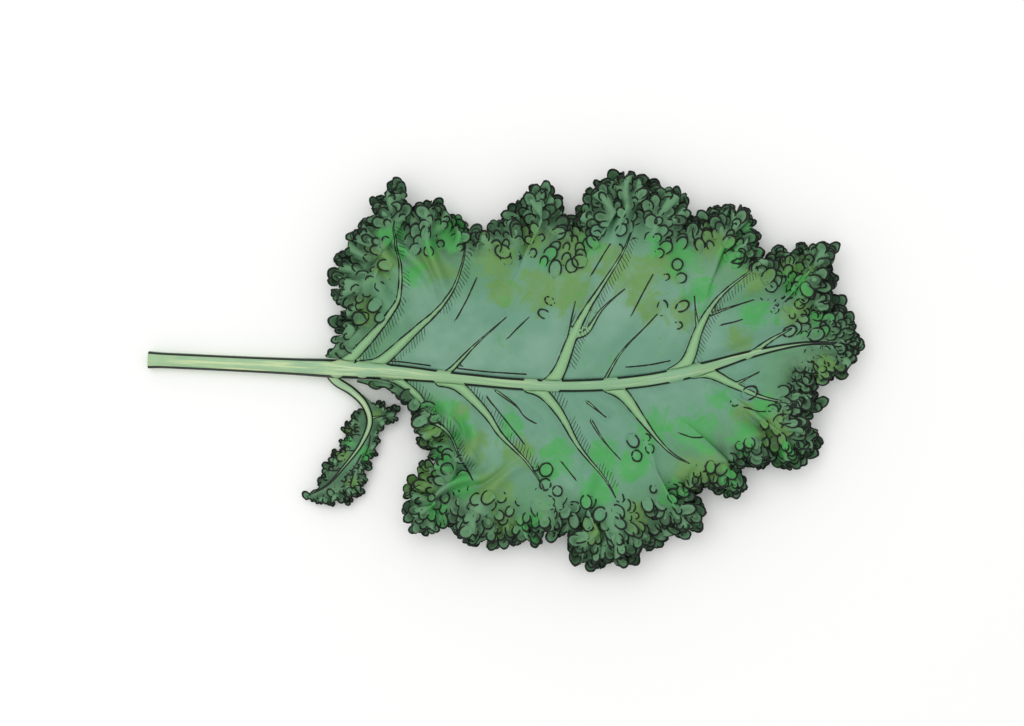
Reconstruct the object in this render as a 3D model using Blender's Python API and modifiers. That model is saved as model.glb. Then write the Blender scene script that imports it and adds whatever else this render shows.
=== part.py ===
"""One picked leaf of curly kale, lying on its back on a table.

A grooved stalk runs on as the midrib to the tip of the leaf.  The frilled blade is in two
halves, one each side of the midrib, with raised side veins.  A small leaflet with a stalk
of its own leaves the main stalk just below the blade.

The leaf is drawn on its own plan axes: X from the foot of the blade to the tip, Y to the
leaf's left, Z up from the table.  The last step moves it so that the origin is under the
middle of the leaf.
"""
import math

import bmesh
import bpy
import numpy as np
from mathutils import Vector

MM = 0.001

# ---- driving dimensions, in millimetres ------------------------------------------------

GAP = 0.4                # clear space between pieces that grow together on the real leaf
SHEET = 0.8               # thickness of the blade between its veins
RIB = 2.6                 # thickness of the blade along the root of a side vein
WELD = 0.01               # corners closer than this are one corner

# Centre line of the stalk and midrib: x, y, z, radius
STALK = [
    (-94, 3.6, 4.4, 4.4),     # cut end
    (-84, 3.2, 4.3, 4.0),
    (-50, 1.6, 4.9, 4.0),
    (-20, 0.2, 6.6, 4.3),
    (0, -0.8, 8.2, 4.8),      # foot of the blade
    (30, -2.6, 10.0, 4.1),
    (60, -5.6, 11.4, 3.3),
    (95, -8.8, 12.4, 3.2),
    (125, -9.2, 12.8, 3.4),
    (155, -6.8, 12.8, 3.6),
    (182, -1.2, 12.4, 3.5),   # the last strong veins fork here
    (208, 6.4, 11.6, 2.2),
    (234, 11.6, 10.4, 1.3),
    (257, 11.6, 9.0, 0.7),    # tip
]

LEAFLET_STALK = [
    (0.5, -8.6, 6.2, 2.5),    # leaves the flank of the main stalk
    (8.5, -12.4, 6.2, 2.4),
    (14.8, -19, 6.0, 2.2),
    (17.2, -28, 5.8, 1.9),
    (12.6, -39, 5.6, 1.5),
    (4.6, -49.5, 5.2, 1.1),
    (-4, -59, 4.6, 0.8),
    (-14, -64.6, 4.0, 0.5),   # tip
]

# Lower margin of each half: share of the stalk's length where it starts, and how far its
# middle bows towards the tip of the leaf and outwards
LEFT_FOOT = (0.248, 4, 0)
RIGHT_FOOT = (0.296, 13, -9)
LEAFLET_LEFT_FOOT = (0.22, 0, 0)
LEAFLET_RIGHT_FOOT = (0.30, 0, 0)

# Outer margins in plan, from the end of the lower margin to the tip: x, y
LEFT_EDGE = [
    (2, 54), (9, 64),                                                  # lobe at the foot
    (19, 75), (26, 89), (34, 86), (37, 77), (47, 81), (59, 76),
    (68, 66), (79, 70), (88, 76), (95, 84), (106, 88), (113, 80),      # second lobe
    (120, 73), (126, 83), (135, 93), (150, 94), (161, 88), (172, 86),  # broadest lobe
    (176, 74), (186, 77), (202, 77), (210, 70),                        # fourth lobe
    (208, 56), (220, 57), (234, 60), (247, 58), (248, 46),             # shoulder lobe
    (244, 38), (253, 28), (260, 19), (261, 12.6),                      # tip lobe
]
RIGHT_EDGE = [
    (38, -66), (39, -78), (46, -82),                                   # lower lobe, near
    (56, -78), (66, -85), (80, -88), (92, -87), (104, -84),            # lower lobe, far
    (114, -84), (122, -94), (133, -98), (148, -93), (160, -88), (173, -82), (184, -75),
    (182, -68), (178, -62), (183, -59), (193, -60), (204, -62),        # pointed lobe
    (203, -52), (205, -46), (214, -48), (228, -48), (241, -36),        # pointed lobe
    (233, -29), (235, -23), (240, -17), (239, -8), (250, -5), (258, 1), (261, 10.4),
]
LEAFLET_LEFT_EDGE = [
    (19.6, -16), (26, -20.5), (31, -24.5), (26, -27), (21.4, -29), (21, -35), (19.6, -43),
    (15, -50), (14.4, -58), (11, -64), (3, -67), (-6, -68.6), (-15.6, -67.6),
]
LEAFLET_RIGHT_EDGE = [
    (11.6, -20.6), (8, -25.4), (5.4, -30), (4.2, -35), (2.6, -41), (-2, -46), (-5.6, -51),
    (-6.6, -57), (-9.6, -60.6), (-15.2, -63.2),
]

# Side veins: x where the vein leaves the midrib, then x, y where it ends in the edge, and
# how far its middle bows towards the tip of the leaf
LEFT_VEINS = [
    (6, 26, 89, -2), (24, 62, 74, 16), (56, 106, 88, 4), (108, 148, 94, -3),
    (140, 172, 86, 2), (174, 204, 76, -2), (196, 247, 58, 3),
]
RIGHT_VEINS = [
    (34, 60, -81, 7), (58, 104, -84, 4), (104, 146, -93, 3),
    (140, 188, -70, 1), (184, 240, -30, 2),
]
# On the leaflet these are distances along its stalk instead of x
LEAFLET_LEFT_VEINS = [(26, 29, -24.5, 1), (44, 15, -52, 3)]
LEAFLET_RIGHT_VEINS = [(38, 3.4, -38, -1), (56, -5.8, -53, -1)]

# Waves of the frilled edge: length, height, and how far in from the edge they fade
LEAF_FRILL = [(34, 13, 24), (16, 4.2, 11)]
LEAFLET_FRILL = [(13, 3.2, 9)]
LEAF_EDGE_HEIGHT = 17     # middle of the frill above the table
LEAFLET_EDGE_HEIGHT = 5.5

MATERIALS = {             # base colour, roughness
    "stalk_green": ((0.42, 0.60, 0.30), 0.45),
    "blade_green": ((0.10, 0.27, 0.15), 0.55),
}


# ---- smooth lines -----------------------------------------------------------------------

def smooth_line(points, count):
    """Catmull-Rom curve through the points, as count places evenly spaced along it."""
    p = np.asarray(points, float)
    p = np.vstack([2 * p[0] - p[1], p, 2 * p[-1] - p[-2]])
    t = np.linspace(0, 1, 24, endpoint=False)[:, None]
    runs = []
    for a, b, c, d in zip(p, p[1:], p[2:], p[3:]):
        runs.append(0.5 * (2 * b + (c - a) * t + (2 * a - 5 * b + 4 * c - d) * t ** 2
                           + (3 * b - a - 3 * c + d) * t ** 3))
    line = np.vstack(runs + [p[-2:-1]])
    along = lengths(line)
    even = np.linspace(0, along[-1], count)
    return np.stack([np.interp(even, along, axis) for axis in line.T], axis=1)


def lengths(line):
    """Distance along the line at each of its points, in plan."""
    return np.concatenate([[0], np.cumsum(np.linalg.norm(np.diff(line[:, :2], axis=0), axis=1))])


def sideways(line):
    """Unit vectors in plan, square to the line and to its left."""
    run = np.gradient(line[:, :2], axis=0)
    run /= np.linalg.norm(run, axis=1)[:, None]
    return np.stack([-run[:, 1], run[:, 0]], axis=1)


def fade(x):
    """Smooth step from 0 to 1."""
    x = np.clip(x, 0, 1)
    return x * x * (3 - 2 * x)


# ---- materials and objects --------------------------------------------------------------

def make_material(name):
    colour, roughness = MATERIALS[name]
    material = bpy.data.materials.new(name)
    material.use_nodes = True
    shader = material.node_tree.nodes["Principled BSDF"]
    shader.inputs["Base Color"].default_value = (*colour, 1)
    shader.inputs["Roughness"].default_value = roughness
    shader.inputs["Metallic"].default_value = 0
    return material


def clear_scene():
    for old in list(bpy.data.objects):
        bpy.data.objects.remove(old)


def new_collection(name):
    collection = bpy.data.collections.new(name)
    bpy.context.scene.collection.children.link(collection)
    return collection


# ---- stalks -----------------------------------------------------------------------------

def stalk_section(collection, sides):
    """Outline of a stalk 1 unit in radius: a rounded section with a shallow groove on top."""
    curve = bpy.data.curves.new("stalk_section", "CURVE")
    curve.dimensions = "2D"
    outline = curve.splines.new("POLY")
    outline.points.add(sides - 1)
    for i, point in enumerate(outline.points):
        angle = 2 * math.pi * i / sides
        off_top = math.remainder(angle - math.pi / 2, 2 * math.pi)
        radius = 1 - 0.16 * math.exp(-(off_top / 0.45) ** 2)
        point.co = (radius * math.cos(angle), radius * math.sin(angle), 0, 1)
    outline.use_cyclic_u = True
    section = bpy.data.objects.new("stalk_section", curve)
    section.hide_render = True
    section.display_type = "WIRE"
    collection.objects.link(section)
    return section


def make_stalk(name, centre_line, rings, section, collection, material):
    """A tapering stalk along the centre line, with a flat face at each end."""
    curve = bpy.data.curves.new(name, "CURVE")
    curve.dimensions = "3D"
    curve.twist_mode = "Z_UP"
    curve.bevel_mode = "OBJECT"
    curve.bevel_object = section
    curve.use_fill_caps = True
    spline = curve.splines.new("POLY")
    spline.points.add(rings - 1)
    for point, (x, y, z, radius) in zip(spline.points, smooth_line(centre_line, rings)):
        point.co = (x * MM, y * MM, z * MM, 1)
        point.radius = radius * MM
    guide = bpy.data.objects.new(name + "_line", curve)
    collection.objects.link(guide)
    bpy.context.view_layer.update()
    graph = bpy.context.evaluated_depsgraph_get()
    mesh = bpy.data.meshes.new_from_object(guide.evaluated_get(graph))
    bpy.data.objects.remove(guide)

    skin = bmesh.new()                      # welds the end caps on, and turns them outwards
    skin.from_mesh(mesh)
    bmesh.ops.remove_doubles(skin, verts=skin.verts, dist=WELD * MM)
    bmesh.ops.recalc_face_normals(skin, faces=skin.faces)
    skin.to_mesh(mesh)
    skin.free()
    mesh.name = name
    mesh.materials.append(material)
    mesh.shade_smooth()
    mesh.set_sharp_from_angle(angle=math.radians(50))
    stalk = bpy.data.objects.new(name, mesh)
    collection.objects.link(stalk)
    return stalk


# ---- blade ------------------------------------------------------------------------------

def vein_places(veins, edge, rib, by_length):
    """For each vein, its share of the way along the edge and along the rib, and its bow."""
    edge_along, rib_along = lengths(edge), lengths(rib)
    places = []
    for start, tip_x, tip_y, bow in veins:
        nearest = np.argmin(np.hypot(edge[:, 0] - tip_x, edge[:, 1] - tip_y))
        root = start if by_length else np.interp(start, rib[:, 0], rib_along)
        places.append((edge_along[nearest] / edge_along[-1], root / rib_along[-1], bow))
    return np.array(places)


def column_shares(places, columns, beside):
    """Where the columns of the grid meet the edge: evenly, but with a close trio at each vein."""
    shares = list(np.linspace(0, 1, columns - 3 * len(places)))
    for share in places[:, 0]:
        nearest = sorted(shares[1:-1], key=lambda s: abs(s - share))[0]
        if abs(nearest - share) < beside:
            shares.remove(nearest)
            shares.append(0.5 * (nearest + share) + math.copysign(1.5 * beside, nearest - share))
        shares += [share - beside, share, share + beside]
    return np.array(sorted(shares))


def blade_points(edge_points, rib_points, veins, margin, side, size, frill, edge_height):
    """The blade's middle surface as a grid of points, and how thick it is at each of them.

    Columns run from the rib to the edge, the way the veins do, and rows run along the leaf.
    """
    columns, rows, beside, boldness, by_length = size
    edge = smooth_line(edge_points, 800)
    rib = smooth_line(rib_points, 800)
    places = vein_places(veins, edge, rib, by_length)
    share = column_shares(places, columns, beside)
    start, margin_bow, margin_out = margin
    known = np.concatenate([[0], places[:, 0], [1]])
    root = np.interp(share, known, np.concatenate([[start], places[:, 1], [1]]))
    bow = np.interp(share, known, np.concatenate([[margin_bow], places[:, 2], [0]]))
    out = np.interp(share, known, np.concatenate([[margin_out], 0 * places[:, 2], [0]]))

    edge_along, rib_along = lengths(edge), lengths(rib)
    at_edge = np.stack([np.interp(share * edge_along[-1], edge_along, a) for a in edge.T], 1)
    at_rib = np.stack([np.interp(root * rib_along[-1], rib_along, a) for a in rib.T], 1)
    square = np.stack([np.interp(root * rib_along[-1], rib_along, a) for a in sideways(rib).T], 1)
    foot = at_rib[:, :2] + side * square * (at_rib[:, 3:4] + GAP)
    forward = np.stack([square[:, 1], -square[:, 0]], axis=1)
    middle = 0.5 * (foot + at_edge) + 2 * (bow[:, None] * forward + out[:, None] * side * square)

    v = 1 - (1 - np.linspace(0, 1, rows)) ** 1.2
    v = v[None, :, None]
    plan = ((1 - v) ** 2 * foot[:, None] + 2 * v * (1 - v) * middle[:, None]
            + v ** 2 * at_edge[:, None])
    v = v[:, :, 0]
    spread = np.linalg.norm(np.gradient(plan, share, axis=0), axis=2)
    spread = np.clip(spread / spread[:, -1:], 0, 1)

    reach = np.linalg.norm(at_edge - foot, axis=1)[:, None]
    from_edge = (1 - v) * reach
    run = (share * edge_along[-1])[:, None]
    ends = fade(reach / frill[0][2]) * fade(run / 12) * fade((edge_along[-1] - run) / 12)

    between = np.abs(share[:, None] - places[None, :, 0]).min(axis=1)
    puff = 2.6 * fade(between / 0.05)[:, None] * np.sin(math.pi * v) * fade(reach / 40)
    lift = (edge_height - at_rib[:, 2:3]) * ends
    height = at_rib[:, 2:3] + lift * fade(v * 1.1) + puff

    sway = np.zeros_like(height)
    for wave, tallest, depth in frill:
        phase = 2 * math.pi * run / wave + 0.8 * np.sin(run / (1.9 * wave)) + side
        strength = tallest * ends * spread * fade(1.6 * v) * np.exp(-(from_edge / depth) ** 2)
        height = height + strength * np.sin(phase)
        sway = sway - 0.12 * strength * np.sin(2 * phase)
    along_edge = sideways(at_edge)
    along_edge = np.stack([along_edge[:, 1], -along_edge[:, 0]], axis=1)
    plan = plan + sway[:, :, None] * along_edge[:, None]

    floor = 0.5 * SHEET + 0.15
    height = floor + np.logaddexp(0, (height - floor) / 1.2) * 1.2
    thick = np.zeros_like(height)
    for vein in places[:, 0]:
        column = np.argmin(abs(share - vein))
        thick[column] = boldness * (1 - 0.85 * v[0])
    return np.dstack([plan, height]), thick


def make_half_blade(name, points, thick, collection, material):
    """An open grid laid over the points, then thickened, most of all along the veins."""
    columns, rows = thick.shape
    mesh = bpy.data.meshes.new(name)
    grid = bmesh.new()
    bmesh.ops.create_grid(grid, x_segments=columns - 1, y_segments=rows - 1, size=1)
    weights = {}
    for vert in grid.verts:
        i = round((vert.co.x + 1) / 2 * (columns - 1))
        j = round((vert.co.y + 1) / 2 * (rows - 1))
        vert.co = Vector(points[i, j]) * MM
        weights[vert.index] = float(thick[i, j])
    grid.to_mesh(mesh)
    grid.free()
    mesh.materials.append(material)
    mesh.shade_smooth()
    blade = bpy.data.objects.new(name, mesh)
    collection.objects.link(blade)
    veins = blade.vertex_groups.new(name="veins")
    for index, weight in weights.items():
        veins.add([index], weight, "REPLACE")
    shell = blade.modifiers.new("thickness", "SOLIDIFY")
    shell.thickness = RIB * MM
    shell.offset = 0
    shell.vertex_group = "veins"
    shell.thickness_vertex_group = SHEET / RIB
    return blade


# ---- the leaf ---------------------------------------------------------------------------

def stand_on_origin(parts):
    """Hangs every piece on one empty, and moves it so that the origin is under the middle."""
    holder = bpy.data.objects.new("kale_leaf", None)
    parts[0].users_collection[0].objects.link(holder)
    bpy.context.view_layer.update()
    graph = bpy.context.evaluated_depsgraph_get()
    corners = [part.matrix_world @ Vector(corner) for part in parts
               for corner in part.evaluated_get(graph).bound_box]
    low = Vector(min(c[k] for c in corners) for k in range(3))
    high = Vector(max(c[k] for c in corners) for k in range(3))
    for part in parts:
        part.parent = holder
    holder.location = -Vector(((low.x + high.x) / 2, (low.y + high.y) / 2, low.z))


def main():
    clear_scene()
    leaf = new_collection("kale_leaf")
    guides = new_collection("guides")
    pale, green = make_material("stalk_green"), make_material("blade_green")
    section = stalk_section(guides, 14)
    small_section = stalk_section(guides, 10)

    parts = [
        make_stalk("stalk_and_midrib", STALK, 46, section, leaf, pale),
        make_stalk("leaflet_stalk", LEAFLET_STALK, 18, small_section, leaf, pale),
    ]
    big = ((128, 9, 0.005, 1, False), LEAF_FRILL, LEAF_EDGE_HEIGHT)
    little = ((40, 6, 0.02, 0.3, True), LEAFLET_FRILL, LEAFLET_EDGE_HEIGHT)
    halves = [
        ("blade_left_half", LEFT_EDGE, STALK, LEFT_VEINS, LEFT_FOOT, 1, *big),
        ("blade_right_half", RIGHT_EDGE, STALK, RIGHT_VEINS, RIGHT_FOOT, -1, *big),
        ("leaflet_left_half", LEAFLET_LEFT_EDGE, LEAFLET_STALK, LEAFLET_LEFT_VEINS,
         LEAFLET_LEFT_FOOT, 1, *little),
        ("leaflet_right_half", LEAFLET_RIGHT_EDGE, LEAFLET_STALK, LEAFLET_RIGHT_VEINS,
         LEAFLET_RIGHT_FOOT, -1, *little),
    ]
    for name, *shape in halves:
        points, thick = blade_points(*shape)
        parts.append(make_half_blade(name, points, thick, leaf, green))
    stand_on_origin(parts)


main()
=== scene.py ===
import math

import bmesh
import bpy
import numpy as np
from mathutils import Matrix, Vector, noise


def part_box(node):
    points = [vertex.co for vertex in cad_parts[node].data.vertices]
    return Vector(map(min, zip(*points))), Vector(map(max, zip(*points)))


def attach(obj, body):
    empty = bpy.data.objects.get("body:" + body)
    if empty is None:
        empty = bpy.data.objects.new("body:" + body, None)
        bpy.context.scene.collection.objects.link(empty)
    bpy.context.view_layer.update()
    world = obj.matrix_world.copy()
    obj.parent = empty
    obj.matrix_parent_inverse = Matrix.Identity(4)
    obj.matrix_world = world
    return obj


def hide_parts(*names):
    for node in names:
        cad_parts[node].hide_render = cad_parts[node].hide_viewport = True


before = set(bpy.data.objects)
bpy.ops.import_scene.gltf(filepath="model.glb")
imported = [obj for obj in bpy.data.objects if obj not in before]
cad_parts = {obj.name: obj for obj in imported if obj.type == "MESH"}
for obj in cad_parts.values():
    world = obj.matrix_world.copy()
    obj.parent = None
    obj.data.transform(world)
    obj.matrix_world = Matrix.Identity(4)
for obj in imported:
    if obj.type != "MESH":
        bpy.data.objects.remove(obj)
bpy.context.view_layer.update()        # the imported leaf, which gives every piece its place and size
print("frame loaded:", ", ".join(sorted(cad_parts)))

mm = 0.001               # every size below is in millimetres, on the leaf's own plan axes


def smoothLine(points, count):
    # a Catmull-Rom curve through the points, as evenly spaced places
    p = np.asarray(points, float)
    p = np.vstack([2 * p[0] - p[1], p, 2 * p[-1] - p[-2]])
    perSpan = 24
    t = np.linspace(0, 1, perSpan, endpoint=False)[:, None]
    runs = []
    for a, b, c, d in zip(p, p[1:], p[2:], p[3:]):
        runs.append(0.5 * (2 * b + (c - a) * t + (2 * a - 5 * b + 4 * c - d) * t ** 2
                           + (3 * b - a - 3 * c + d) * t ** 3))
    line = np.vstack(runs + [p[-2:-1]])
    along = pathLength(line)
    return resample(line, along, np.linspace(0, along[-1], count))


def pathLength(line):
    steps = np.linalg.norm(np.diff(line[:, :2], axis=0), axis=1)
    return np.concatenate([[0], np.cumsum(steps)])


def resample(values, along, places):
    return np.stack([np.interp(places, along, column) for column in values.T], axis=1)


def soften(values, sigma):
    # a running average that keeps both ends where they are
    flat = values.reshape(len(values), -1)
    reach = min(int(3 * sigma) + 1, len(flat) - 1)
    weights = np.exp(-0.5 * (np.arange(-reach, reach + 1) / sigma) ** 2)
    weights /= weights.sum()
    before = 2 * flat[:1] - flat[reach:0:-1]
    after = 2 * flat[-1:] - flat[-2:-reach - 2:-1]
    longer = np.concatenate([before, flat, after])
    smooth = [np.convolve(column, weights, "valid") for column in longer.T]
    return np.stack(smooth, axis=1).reshape(values.shape)


def unit(vectors):
    return vectors / np.maximum(np.linalg.norm(vectors, axis=-1, keepdims=True), 1e-9)


def leftOf(line):
    run = unit(np.gradient(line[:, :2], axis=0))
    return np.stack([-run[:, 1], run[:, 0]], axis=1)


def ease(x):
    x = np.clip(x, 0, 1)
    return x * x * (3 - 2 * x)


def nearestOnLine(points, line):
    # distance to the line, share of the way along it, and which side the point is on
    a, run = line[:-1, :2], np.diff(line[:, :2], axis=0)
    along = ((points[:, None] - a) * run).sum(2) / np.maximum((run ** 2).sum(1), 1e-9)
    along = np.clip(along, 0, 1)
    gap = points[:, None] - (a + along[..., None] * run)
    distance = np.hypot(gap[..., 0], gap[..., 1])
    best = distance.argmin(1)
    row = np.arange(len(points))
    side = run[best, 0] * gap[row, best, 1] - run[best, 1] * gap[row, best, 0]
    return distance[row, best], (best + along[row, best]) / len(a), np.sign(side)


def roughness(points, size, seed):
    # smooth noise between about -1 and 1 with lumps of the given size
    return np.array([noise.noise(Vector((x / size, y / size, seed))) for x, y in points])


def waver(count, step, size, seed):
    # the same along a line of places that are a step apart
    return np.array([noise.noise(Vector((i * step / size, seed, 0.5))) for i in range(count)])


stalk = {
    "line": [                        # x, y, z and radius, from the cut end to the tip
        (-94, 3.6, 4.4, 4.4), (-84, 3.2, 4.3, 4.0), (-50, 1.6, 4.9, 4.0), (-20, 0.2, 6.6, 4.3),
        (0, -0.8, 8.2, 4.8), (30, -2.6, 10.0, 4.1), (60, -5.6, 11.4, 3.3),
        (95, -8.8, 12.4, 3.2), (125, -9.2, 12.8, 3.4), (155, -6.8, 12.8, 3.6),
        (182, -1.2, 12.4, 3.5), (208, 6.4, 11.6, 2.2), (234, 11.6, 10.4, 1.3),
        (257, 11.6, 9.0, 0.7),
    ],
    "slope": 0.04,                   # of the line across the plan, at the cut end
    "rings": 620,
    "sides": 44,
    "groove": 0.15,                  # depth of the groove on top, as a share of the radius
    "grooveSpan": 0.5,               # from its middle to its side, as an angle in radians
    "ridges": 13,                    # fine ridges that run along the stalk
    "ridgeHeight": 0.018,            # as a share of the radius
    "uneven": 0.02,                  # how much its thickness varies, as a share of the radius
    "unevenSize": 40,                # in rings
    "lowest": 0.15,                  # its underside is flat where it lies on the table
    "lineWidth": 1.1,                # of the dark line down each flank
    "veinsRunIn": True,              # the flank's line stops where a side vein joins
}
leafletStalk = {
    "line": [
        (-2.5, -3.6, 6.4, 2.6), (1.0, -7.6, 6.3, 2.5), (8.5, -12.4, 6.2, 2.3),
        (14.8, -19, 6.0, 2.1), (17.2, -28, 5.8, 1.8), (12.6, -39, 5.6, 1.4),
        (4.6, -49.5, 5.2, 1.0), (-4, -59, 4.6, 0.7), (-14, -64.6, 4.0, 0.45),
    ],
    "rings": 220,
    "sides": 28,
    "groove": 0.12,
    "grooveSpan": 0.5,
    "ridges": 9,
    "ridgeHeight": 0.02,
    "uneven": 0.02,
    "unevenSize": 40,
    "lowest": 0.15,
    "lineWidth": 0.8,
    "veinsRunIn": False,
}
# rings that close a cut end: share of its radius, and how far they lie inside the end
cutEnd = {"rings": [(0.97, 0.0), (0.85, 0.25), (0.5, 0.45), (0.15, 0.5)], "hub": 0.5}
ribLine = smoothLine(stalk["line"], 1400)
leafletRib = smoothLine(leafletStalk["line"], 700)


def placeOfLeaf():
    # where the plan axes lie in the frame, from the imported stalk's box
    low, high = (np.array(corner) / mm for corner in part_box("stalk_and_midrib"))
    x = low[0] - (ribLine[:, 0] - stalk["slope"] * ribLine[:, 3]).min()
    widest = (ribLine[:, 1] - ribLine[:, 3]).min() + (ribLine[:, 1] + ribLine[:, 3]).max()
    return np.array([x, (low[1] + high[1] - widest) / 2, 0])


home = placeOfLeaf()


def newPiece(name, points, faces, attributes, material):
    mesh = bpy.data.meshes.new(name)
    mesh.from_pydata(((points + home) * mm).tolist(), [], faces)
    for key, values in attributes.items():
        kind = "FLOAT_VECTOR" if np.ndim(values) == 2 else "FLOAT"
        layer = mesh.attributes.new(key, kind, "POINT")
        field = "vector" if kind == "FLOAT_VECTOR" else "value"
        layer.data.foreach_set(field, np.asarray(values, np.float32).ravel())
    mesh.materials.append(material)
    mesh.shade_smooth()
    mesh.validate()
    piece = bpy.data.objects.new(name, mesh)
    bpy.context.scene.collection.objects.link(piece)
    return piece


def applyModifiers(piece):
    bpy.context.view_layer.update()
    graph = bpy.context.evaluated_depsgraph_get()
    mesh = bpy.data.meshes.new_from_object(piece.evaluated_get(graph), depsgraph=graph)
    piece.modifiers.clear()
    piece.data = mesh


def joinFrame(piece, node):
    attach(piece, "root")
    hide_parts(node)
    print("made", piece.name, "with", len(piece.data.polygons), "faces")


def paint(red, green, blue):
    # a colour as a painter's 0 to 255 mix, turned into the shader's linear values
    mixed = [c / 255 for c in (red, green, blue)]
    linear = [c / 12.92 if c <= 0.04045 else ((c + 0.055) / 1.055) ** 2.4 for c in mixed]
    return (*linear, 1)


class Finish:
    def __init__(self, name):
        self.material = bpy.data.materials.new(name)
        self.material.use_nodes = True
        self.tree = self.material.node_tree
        self.shader = self.tree.nodes["Principled BSDF"]

    def add(self, kind, inputs=None, **settings):
        made = self.tree.nodes.new(kind)
        for key, value in settings.items():
            setattr(made, key, value)
        for key, value in (inputs or {}).items():
            self.put(made.inputs[key], value)
        return made

    def put(self, socket, value):
        if isinstance(value, bpy.types.NodeSocket):
            self.tree.links.new(value, socket)
        else:
            socket.default_value = value

    def read(self, attribute):
        return self.add("ShaderNodeAttribute", attribute_name=attribute)

    def calc(self, operation, *values):
        made = self.add("ShaderNodeMath", operation=operation)
        for socket, value in zip(made.inputs, values):
            self.put(socket, value)
        return made.outputs[0]

    def between(self, value, low, high, start=0.0, end=1.0):
        # a soft step from start to end as the value goes from low to high
        made = self.add("ShaderNodeMapRange", interpolation_type="SMOOTHSTEP")
        for key, number in zip(range(5), (value, low, high, start, end)):
            self.put(made.inputs[key], number)
        return made.outputs[0]

    def lumps(self, place, size, detail=2.0, rough=0.5, warp=0.0):
        return self.add("ShaderNodeTexNoise", {"Vector": place, "Scale": 1 / (size * mm),
                        "Detail": detail, "Roughness": rough, "Distortion": warp}).outputs["Fac"]

    def blend(self, share, below, above, how="MIX"):
        made = self.add("ShaderNodeMix", data_type="RGBA", blend_type=how)
        for index, value in ((0, share), (6, below), (7, above)):
            self.put(made.inputs[index], value)
        return made.outputs[2]

    def bump(self, height, distance, strength=1.0, over=None):
        made = self.add("ShaderNodeBump", {"Height": height, "Distance": distance * mm,
                                           "Strength": strength})
        if over:
            self.put(made.inputs["Normal"], over)
        return made.outputs[0]


bladeLook = {
    "wash": paint(118, 158, 136),         # the thin blue-green between the veins
    "washDeep": paint(100, 147, 122),
    "washSize": 38,
    "glaze": paint(80, 134, 86),          # the greener band inside the frill
    "glazeFrom": 46,                      # where it starts and is full, in from the margin
    "glazeFull": 20,
    "frill": paint(98, 142, 104),
    # the frill's darker green, also the colour of the painted shade in its troughs and curl cups
    "frillDarkAndShade": paint(50, 82, 54),
    "frillFrom": 25,
    "frillFull": 9,
    "raggedness": 26,                     # how far those borders wander
    "olive": paint(100, 142, 72),
    "fresh": paint(64, 158, 74),
    "dabs": [("olive", 0.86), ("fresh", 0.84)],
    "wateryEdge": 12,                     # size of the bays in a dab's edge
    "spotSize": 7,
    "vein": paint(120, 164, 120),
    # the lighter middle of each vein is a painted highlight along the raised rib's crest
    "veinCrestHighlight": paint(134, 177, 128),
    "netSize": 3.4,                       # of the fine net of veinlets
    "netStrength": 0.14,
    "grainSize": 1.3,
    "grainHeight": 0.12,
    "line": paint(14, 24, 16),            # the dark line along every rim, also the painted shade along both sides of every vein and in the strokes in its lee
    "rimLine": 0.62,                      # width of the one along a rim
    "veinShadeLine": 0.48,                     # half width of the painted shade lines beside a vein
    "softEdge": 0.12,                     # over which a dark line fades out
    "breakSize": 5,                       # of the swellings and breaks in a line
    "strokeApart": 1.9,                   # the short strokes of painted shade in a vein's lee
    "strokeSlant": 0.7,
    "strokeReach": 7.2,
    "strokeDark": 0.85,
}
stalkLook = {
    "skin": paint(160, 191, 146),         # at the cut end
    "skinTip": paint(124, 166, 122),      # towards the leaf's tip
    "skinCool": paint(126, 170, 136),
    "skinWarm": paint(200, 216, 164),
    "patchSize": 26,
    "streaksAlong": 0.035,                # how many to a millimetre of the stalk
    "streaksRound": 2.6,                  # about how many from its middle line to either flank
    "pith": paint(160, 180, 146),
    "fibreSize": 0.9,
    "line": paint(14, 24, 16),
}


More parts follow.
